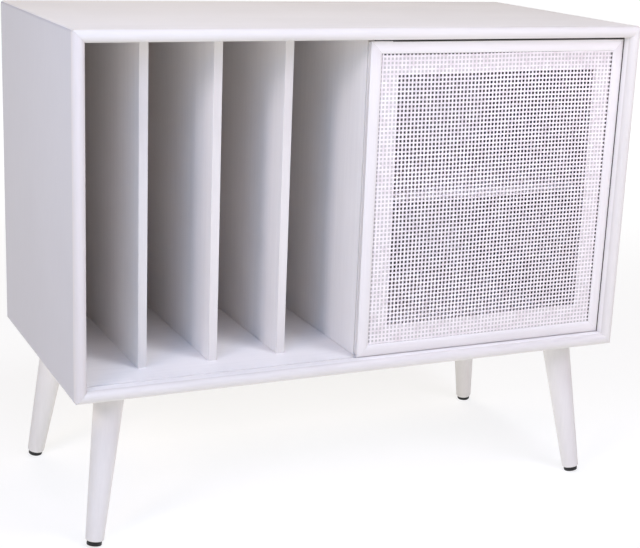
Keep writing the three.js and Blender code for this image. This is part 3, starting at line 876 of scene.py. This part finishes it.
def build_cane(cane):
    """Open square weave: pairs of strands go over and under each other, with a hole at every pitch. The hand-laid
    sheet isn't quite square to the door."""
    low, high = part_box("door_cane_panel")
    middle = (low + high) / 2
    bend_height, slope_width = middle.z - 40 * MM, 90 * MM

    def lean(z):
        """The upright strands lean to the left above the bend."""
        return cane.lean * (0.2 - max(0, (z - bend_height) / (high.z - middle.z)))

    def climb(x):
        """The cross strands climb to the right, mostly near the middle."""
        return cane.climb * (0.5 * math.tanh((x - middle.x) / slope_width) - 0.18)

    first_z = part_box("bottom_board")[0].z + cane.first_up
    own_x = strand_places(cane.first_across, cane.pitch_across, cane, low.x, high.x)
    own_z = strand_places(first_z, cane.pitch_up, cane, low.z, high.z)
    centre = high.y - cane.strand_thickness
    draw = random.Random(11)
    weave = {
        "upright": woven_strands(own_x, own_z, low.z, high.z, cane, centre, True, draw, lean),
        "cross": woven_strands(own_z, own_x, low.x, high.x, cane, centre, False, draw, climb),
    }
    for way, strands in weave.items():
        add_piece(
            f"door_cane_{way}_strands",
            strands,
            "white_painted_split_cane",
            "door",
            ["door_cane_panel"],
            crease=50,
        )


def leg_place(legs, sideways, fore):
    """(the matrix that stands a leg's own Z axis on its slant from the floor up, its length to the case)."""
    low, high = case_corners()
    head = Vector((sideways * (high.x - legs.inset_side), fore * (high.y - legs.inset_fore), low.z))
    foot = Vector((head.x + sideways * legs.splay_side, head.y + fore * legs.splay_fore, 0))
    rise = head - foot
    lean = rise.to_track_quat("Z", "Y").to_matrix().to_4x4()
    return Matrix.Translation(foot) @ lean, rise.length


def build_legs(legs):
    underside = case_corners()[0].z
    lift, line = 1.2 * MM, 0.3 * MM
    foot_bend, foot_relief, head_bend = 3 * MM, 3 * MM, 1.5 * MM
    sole_edge, glide_edge = 1.6 * MM, 0.4 * MM
    for where, (sideways, fore) in LEG_PLACES.items():
        place, slant = leg_place(legs, sideways, fore)
        # The leg's axis slants, so the glide starts a little up it, and what would dip under the floor is flattened.
        sole = lift * slant / underside
        glide_top = sole + legs.glide_height
        end, top = glide_top + line, slant - legs.head_gap
        profile = [(0, end), (legs.end_radius - foot_bend - foot_relief, end)]
        profile += arc(legs.end_radius - foot_bend, end + foot_bend, foot_bend, -90, 0, 8)
        profile += arc(legs.head_radius - head_bend, top - head_bend, head_bend, 0, 90, 5)
        profile += [(0, top)]
        glide = [(0, sole)] + arc(legs.glide_radius - sole_edge, sole + sole_edge, sole_edge, -90, 0, 6)
        glide += arc(legs.glide_radius - glide_edge, glide_top - glide_edge, glide_edge, 0, 90, 3) + [(0, glide_top)]
        add_piece(
            f"leg_{where}_painted",
            turned(profile, legs.segments, place),
            "white_brushed_paint_turned_leg",
            "case",
            [f"leg_{where}"],
            crease=40,
        )
        points, faces = turned(glide, legs.segments, place)
        add_piece(
            f"glide_{where}_moulded",
            ([(p.x, p.y, max(p.z, 0)) for p in points], faces),
            "black_moulded_polyethylene",
            "case",
            [f"glide_{where}"],
            crease=40,
        )


def build_leg_fixings(legs):
    facing_down = Matrix.Rotation(math.pi, 4, "X")
    low, high = case_corners()
    eased, plate_thickness, screw_offset = 0.4 * MM, 3 * MM, 26 * MM
    radius, rise = 3.8 * MM, 0.5 * MM
    for where, (sideways, fore) in LEG_PLACES.items():
        soften_solid(f"leg_plate_{where}", "zinc_plated_pressed_steel", eased)
        soften_solid(f"leg_bolt_{where}", "zinc_plated_pressed_steel", eased)
        x, y = sideways * (high.x - legs.inset_side), fore * (high.y - legs.inset_fore)
        heads = []
        for across in (-screw_offset, screw_offset):
            for deep in (-screw_offset, screw_offset):
                spot = Matrix.Translation((x + across, y + deep, low.z - plate_thickness))
                heads.append(screw_head(spot @ facing_down, radius, rise))
        add_piece(f"leg_plate_screws_{where}", joined(*heads), "zinc_plated_pressed_steel", "case")


# Camera, lights and floor.


# Fitted to the photograph's straight edges: the view's azimuth, downward tilt and roll in degrees, the camera's
# place in metres and its lens in millimetres.
CAMERA_ANGLES = (25.056, 15.441, 2.292)
CAMERA_PLACE = (-1.0263, -2.2327, 1.0453)
CAMERA_LENS = 79.234


def build_camera():
    """Stands where the photograph was taken."""
    camera_data = bpy.data.cameras.new("photo_camera")
    camera = bpy.data.objects.new("photo_camera", camera_data)
    bpy.context.scene.collection.objects.link(camera)
    azimuth, down, roll = (math.radians(a) for a in CAMERA_ANGLES)
    forward = Vector((math.sin(azimuth) * math.cos(down), math.cos(azimuth) * math.cos(down), -math.sin(down)))
    level = Vector((math.cos(azimuth), -math.sin(azimuth), 0))
    above = level.cross(forward)
    right = math.cos(roll) * level + math.sin(roll) * above
    up = -math.sin(roll) * level + math.cos(roll) * above
    turn = Matrix((right, up, -forward)).transposed().to_4x4()
    camera.matrix_world = Matrix.Translation(CAMERA_PLACE) @ turn
    camera_data.sensor_width = 36
    camera_data.lens = CAMERA_LENS
    camera_data.clip_end = 200
    bpy.context.scene.camera = camera


def soft_light(name, azimuth, elevation, away, width, watts, tint):
    """A square soft box aimed at the case's middle from a distance. Azimuth 0 is in front and 90 on the right."""
    middle = Vector((0, 0, 0.55))
    turn, rise = math.radians(azimuth), math.radians(elevation)
    outward = Vector((math.cos(rise) * math.sin(turn), -math.cos(rise) * math.cos(turn), math.sin(rise)))
    place = middle + away * outward
    data = bpy.data.lights.new(name, "AREA")
    data.shape = "SQUARE"
    data.size = width
    data.energy = watts
    data.color = linear(tint)[:3]
    light = bpy.data.objects.new(name, data)
    light.location = place
    light.rotation_mode = "QUATERNION"
    light.rotation_quaternion = (middle - place).to_track_quat("-Z", "Y")
    light.visible_camera = False
    bpy.context.scene.collection.objects.link(light)


# Each soft box: azimuth and elevation in degrees, distance and width in metres, and tint.
SOFT_BOXES = {
    "key": (-47, 26, 2.3, 1.0, "#62b2ff"),
    "left": (-58, 24, 3.4, 0.8, "#ffeade"),
    "front": (28, 28, 2.4, 1.2, "#f7e8ff"),
    "high": (-20, 62, 3.4, 1.4, "#ebe8ff"),
    "crisp": (25, 62, 3.4, 0.8, "#ebf8ff"),
    "back": (180, 62, 3.4, 1.6, "#ffedd3"),
}


def add_stage_mesh(name, points, faces, material):
    """A mesh of the studio round the cabinet."""
    mesh = bpy.data.meshes.new(name)
    mesh.from_pydata(points, [], faces)
    mesh.materials.append(material)
    thing = bpy.data.objects.new(name, mesh)
    bpy.context.scene.collection.objects.link(thing)
    return thing


def build_floor(stage, paint):
    # Seamless studio paper, matt and nearly white. Its own lamps make it glow, a little more from about 4 m away
    # than round the cabinet.
    paper, shader, tree = glowing_matt("matt_studio_paper", paint, 3.0, 0.005)
    place = add_node(tree, "ShaderNodeTexCoord").outputs["Object"]
    away = add_node(tree, "ShaderNodeVectorMath", {"operation": "LENGTH"}, {0: place})
    near, far = 0.9, 4.0
    glow_there = add_node(
        tree,
        "ShaderNodeMapRange",
        {
            "interpolation_type": "SMOOTHSTEP",
            "From Min": near,
            "From Max": far,
            "To Min": stage.floor_glow,
            "To Max": stage.far_glow,
        },
        {"Value": away.outputs["Value"]},
    )
    tree.links.new(glow_there.outputs[0], shader.inputs["Emission Strength"])
    half, under = 40.0, -0.2 * MM
    corners = [(-half, -half, under), (half, -half, under), (half, half, under), (-half, half, under)]
    floor = add_stage_mesh("studio_floor", corners, [(0, 1, 2, 3)], paper)


def build_wall(stage, paint):
    # A pale wall far all round closes the room behind the cabinet in low views: matt emulsion, lit evenly.
    emulsion, shader, _ = glowing_matt("matt_wall_emulsion", paint, 0.4, 0.01)
    shader.inputs["Emission Strength"].default_value = stage.wall_glow
    around, away, top = 96, 39.5, 7.6
    foot = [(away * math.cos(math.tau * k / around), away * math.sin(math.tau * k / around)) for k in range(around)]
    points = [(x, y, z) for z in (0, top) for x, y in foot]
    wall = add_stage_mesh("studio_wall", points, skin(around, 2)[:-2], emulsion)


def build_stage(stage, colours):
    build_camera()
    for name, (azimuth, elevation, away, width, tint) in SOFT_BOXES.items():
        soft_light(f"{name}_softbox", azimuth, elevation, away, width, getattr(stage, f"{name}_power"), tint)
    world = bpy.data.worlds.new("dim_room")
    bpy.context.scene.world = world
    world.use_nodes = True
    room = world.node_tree.nodes["Background"]
    room.inputs["Color"].default_value = linear("#fbfbff")
    room.inputs["Strength"].default_value = 0.01
    build_floor(stage, colours.floor)
    build_wall(stage, colours.floor)
    bpy.context.scene.view_settings.view_transform = "Standard"


# Operators, one for each piece or group of like pieces.


class CABINET_OT_case_boards(bpy.types.Operator):
    """Builds the four mitred boards of the case"""

    bl_idname = "cabinet.case_boards"
    bl_label = "Case boards"

    def execute(self, context):
        build_case_boards(context.scene.cabinet_case)
        return {"FINISHED"}


class CABINET_OT_back_panel(bpy.types.Operator):
    """Builds the back panel and its screws"""

    bl_idname = "cabinet.back_panel"
    bl_label = "Back panel"

    def execute(self, context):
        build_back_panel(context.scene.cabinet_case)
        return {"FINISHED"}


class CABINET_OT_dividers(bpy.types.Operator):
    """Builds the record dividers and the centre partition"""

    bl_idname = "cabinet.dividers"
    bl_label = "Dividers and partition"

    def execute(self, context):
        build_dividers(context.scene.cabinet_case)
        return {"FINISHED"}


class CABINET_OT_shelf(bpy.types.Operator):
    """Builds the cupboard's shelf"""

    bl_idname = "cabinet.shelf"
    bl_label = "Shelf"

    def execute(self, context):
        build_shelf(context.scene.cabinet_case)
        return {"FINISHED"}


class CABINET_OT_fittings(bpy.types.Operator):
    """Finishes the shelf pins and the door's guides, runners and buffers"""

    bl_idname = "cabinet.fittings"
    bl_label = "Pins, guides and buffers"

    def execute(self, context):
        build_fittings()
        return {"FINISHED"}


class CABINET_OT_door_frame(bpy.types.Operator):
    """Builds the door's mitred frame with its domed rim and ledge"""

    bl_idname = "cabinet.door_frame"
    bl_label = "Door frame"

    def execute(self, context):
        build_door_frame(context.scene.cabinet_door)
        return {"FINISHED"}


class CABINET_OT_door_cane(bpy.types.Operator):
    """Weaves the door's cane panel"""

    bl_idname = "cabinet.door_cane"
    bl_label = "Woven cane"

    def execute(self, context):
        build_cane(context.scene.cabinet_cane)
        return {"FINISHED"}


class CABINET_OT_legs(bpy.types.Operator):
    """Turns the four legs and their glides"""

    bl_idname = "cabinet.legs"
    bl_label = "Legs and glides"

    def execute(self, context):
        build_legs(context.scene.cabinet_legs)
        return {"FINISHED"}


class CABINET_OT_leg_fixings(bpy.types.Operator):
    """Finishes the leg plates and their bolts, and adds their screws"""

    bl_idname = "cabinet.leg_fixings"
    bl_label = "Leg plates"

    def execute(self, context):
        build_leg_fixings(context.scene.cabinet_legs)
        return {"FINISHED"}


class CABINET_OT_stage(bpy.types.Operator):
    """Sets up the camera, the soft lights, the pale floor and the far wall"""

    bl_idname = "cabinet.stage"
    bl_label = "Camera, lights and floor"

    def execute(self, context):
        build_stage(context.scene.cabinet_stage, context.scene.cabinet_colours)
        return {"FINISHED"}


OPERATORS = (
    CABINET_OT_stage,
    CABINET_OT_case_boards,
    CABINET_OT_back_panel,
    CABINET_OT_dividers,
    CABINET_OT_shelf,
    CABINET_OT_fittings,
    CABINET_OT_door_frame,
    CABINET_OT_door_cane,
    CABINET_OT_legs,
    CABINET_OT_leg_fixings,
)


class CABINET_PT_build(bpy.types.Panel):
    """Lists the steps that build the cabinet, with their sizes and colours"""

    bl_idname = "CABINET_PT_build"
    bl_label = "Record Cabinet"
    bl_space_type = "VIEW_3D"
    bl_region_type = "UI"
    bl_category = "Cabinet"

    def draw(self, context):
        for operator in OPERATORS:
            self.layout.operator(operator.bl_idname)
        for name, group in SETTINGS.items():
            box = self.layout.box()
            for setting in group.__annotations__:
                box.prop(getattr(context.scene, name), setting)


def register():
    for name, group in SETTINGS.items():
        bpy.utils.register_class(group)
        setattr(bpy.types.Scene, name, PointerProperty(type=group))
    for operator in OPERATORS:
        bpy.utils.register_class(operator)
    bpy.utils.register_class(CABINET_PT_build)


def unregister():
    bpy.utils.unregister_class(CABINET_PT_build)
    for operator in reversed(OPERATORS):
        bpy.utils.unregister_class(operator)
    for name, group in reversed(SETTINGS.items()):
        delattr(bpy.types.Scene, name)
        bpy.utils.unregister_class(group)


def main():
    register()
    bpy.ops.cabinet.stage()
    bpy.ops.cabinet.case_boards()
    bpy.ops.cabinet.back_panel()
    bpy.ops.cabinet.dividers()
    bpy.ops.cabinet.shelf()
    bpy.ops.cabinet.fittings()
    bpy.ops.cabinet.door_frame()
    bpy.ops.cabinet.door_cane()
    bpy.ops.cabinet.legs()
    bpy.ops.cabinet.leg_fixings()


if __name__ == "__main__":
    main()
